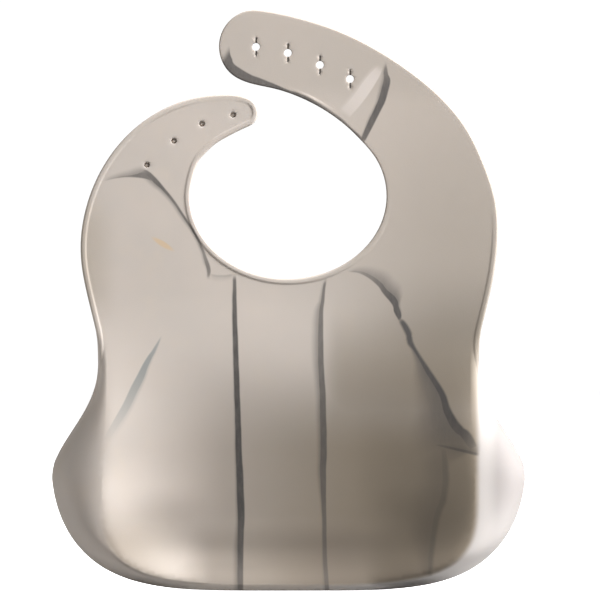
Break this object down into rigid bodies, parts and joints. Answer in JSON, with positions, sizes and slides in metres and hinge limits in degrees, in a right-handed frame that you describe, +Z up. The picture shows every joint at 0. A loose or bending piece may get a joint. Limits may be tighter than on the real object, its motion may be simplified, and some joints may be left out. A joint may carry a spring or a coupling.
{
  "type": "silicone bib",
  "caption": "Soft silicone baby bib with a scoop pocket, dished back panel and two neck straps that button together with pegs and slit holes.",
  "frame": {"origin": "centre of the oval neck opening, in the middle of the sheet's thickness", "axes": "+Z up towards the neck straps, +Y out of the chest side towards the wearer, so the pocket faces -Y, and +X towards the wearer's left, the side of the peg strap"},
  "size_m": [0.2472, 0.0529, 0.302],
  "materials": {
    "silicone": "satin",
    "silicone_rim": "satin",
    "silicone_peg": "satin"
  },
  "bodies": {
    "lower_apron": {"back_panel": "silicone", "pocket_cheek_left": "silicone", "pocket_cheek_right": "silicone", "pocket_floor": "silicone", "side_rim_left": "silicone_rim", "side_rim_right": "silicone_rim"},
    "pocket_wall": {"pocket_front": "silicone", "pocket_front_rim": "silicone_rim"},
    "upper_apron": {"chest_panel": "silicone"},
    "peg_strap_base": {"peg_strap_root": "silicone", "peg_1": "silicone_peg", "peg_2": "silicone_peg"},
    "peg_strap_end": {"peg_strap_tip": "silicone", "peg_3": "silicone_peg", "peg_4": "silicone_peg"},
    "hole_strap_base": {"hole_strap_root": "silicone"},
    "hole_strap_end": {"hole_strap_tip": "silicone"}
  },
  "joints": [
    {"name": "pocket_open", "type": "hinge", "parent": "lower_apron", "child": "pocket_wall", "pos_m": [0, -0.0227, -0.205], "axis": [1, 0, 0], "range_deg": [0, 18], "stiffness_Nm_per_rad": 0.08},
    {"name": "apron_fold", "type": "hinge", "parent": "lower_apron", "child": "upper_apron", "pos_m": [0, 0, -0.069], "axis": [-1, 0, 0], "range_deg": [-120, 40], "stiffness_Nm_per_rad": 0.02},
    {"name": "peg_strap_wrap", "type": "hinge", "parent": "upper_apron", "child": "peg_strap_base", "pos_m": [0.07526, 0, -0.02712], "axis": [-0.9862, 0, 0.1653], "range_deg": [0, 64.17], "stiffness_Nm_per_rad": 0.01},
    {"name": "peg_strap_curl", "type": "hinge", "parent": "peg_strap_base", "child": "peg_strap_end", "pos_m": [0.052, 0, 0.03377], "axis": [-0.9511, 0, -0.309], "range_deg": [0, 16.82], "stiffness_Nm_per_rad": 0.005},
    {"name": "hole_strap_wrap", "type": "hinge", "parent": "upper_apron", "child": "hole_strap_base", "pos_m": [-0.07809, 0, -0.01738], "axis": [-0.9112, 0, -0.4119], "range_deg": [0, 82], "stiffness_Nm_per_rad": 0.01},
    {"name": "hole_strap_curl", "type": "hinge", "parent": "hole_strap_base", "child": "hole_strap_end", "pos_m": [-0.04688, 0, 0.05025], "axis": [-0.28, 0, 0.96], "range_deg": [0, 25.86], "stiffness_Nm_per_rad": 0.005}
  ],
  "couplings": [
    {"joint": "peg_strap_curl", "follows": "peg_strap_wrap", "ratio": 0.26196},
    {"joint": "hole_strap_curl", "follows": "hole_strap_wrap", "ratio": 0.31524}
  ]
}
